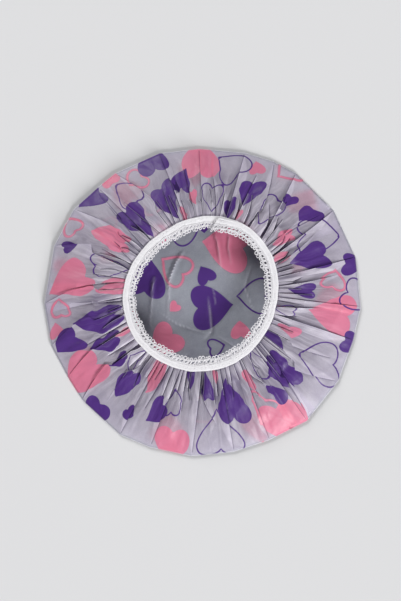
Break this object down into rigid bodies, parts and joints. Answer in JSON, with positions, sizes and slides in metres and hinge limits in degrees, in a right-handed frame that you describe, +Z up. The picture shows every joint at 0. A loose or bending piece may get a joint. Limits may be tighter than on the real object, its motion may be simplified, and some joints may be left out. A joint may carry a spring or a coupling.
{
  "type": "shower cap",
  "caption": "Bath cap of thin frosted film with a heart print, gathered into a lace-trimmed elastic round its open mouth.",
  "frame": {"origin": "under the middle of the outline, on the surface that the crown rests on", "axes": "+Z up out of the open mouth, +X to the right, +Y towards the place where the two ends of the elastic lap"},
  "size_m": [0.2852, 0.2766, 0.0251],
  "materials": {
    "film": "frosted translucent film with a purple and pink heart print",
    "knit": "white knitted elastic and lace",
    "rubber": "bare pale rubber strand",
    "thread": "white twisted sewing thread"
  },
  "bodies": {
    "root": {"film_cap": "film", "elastic_tape": "knit", "rubber_core_1": "rubber", "rubber_core_2": "rubber", "rubber_core_3": "rubber", "lace_edging": "knit", "needle_thread": "thread", "bobbin_thread": "thread"}
  },
  "joints": []
}
